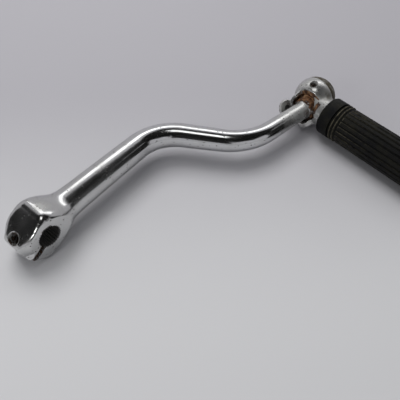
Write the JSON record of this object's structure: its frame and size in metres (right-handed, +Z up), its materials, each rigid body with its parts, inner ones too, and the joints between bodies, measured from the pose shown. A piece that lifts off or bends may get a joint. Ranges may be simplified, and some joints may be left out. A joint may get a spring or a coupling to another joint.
{
  "type": "kick start lever",
  "caption": "Forged S-bent kick lever with a splined clamp boss and a ball-shaped knuckle on which a rubber-covered pedal folds up.",
  "frame": {"origin": "on the axis of the splined bore, level with the arm's centre line at the clamp boss", "axes": "+X up the arm towards the knuckle, +Y inboard along the shaft, out of the bore towards the engine, +Z up off the bench with the lever lying on its side; the pedal points outboard along -Y"},
  "size_m": [0.2416, 0.1745, 0.033],
  "materials": {
    "chrome": "worn, pitted chrome plate on forged steel",
    "rubber": "ribbed moulded rubber, worn and dusty",
    "rusty_steel": "rusted bare steel",
    "spring_steel": "dark spring steel"
  },
  "bodies": {
    "arm": {"kick_arm": "chrome", "thrust_washer": "rusty_steel", "detent_ball": "spring_steel", "detent_spring": "spring_steel"},
    "pedal": {"pedal": "chrome", "grip_rubber": "rubber", "retaining_pin": "spring_steel"}
  },
  "joints": [
    {"name": "pedal_fold", "type": "hinge", "parent": "arm", "child": "pedal", "pos_m": [0.208, -0.0626, -0.0018], "axis": [-0.99, 0.1409, 0], "range_deg": [0, 90]}
  ]
}
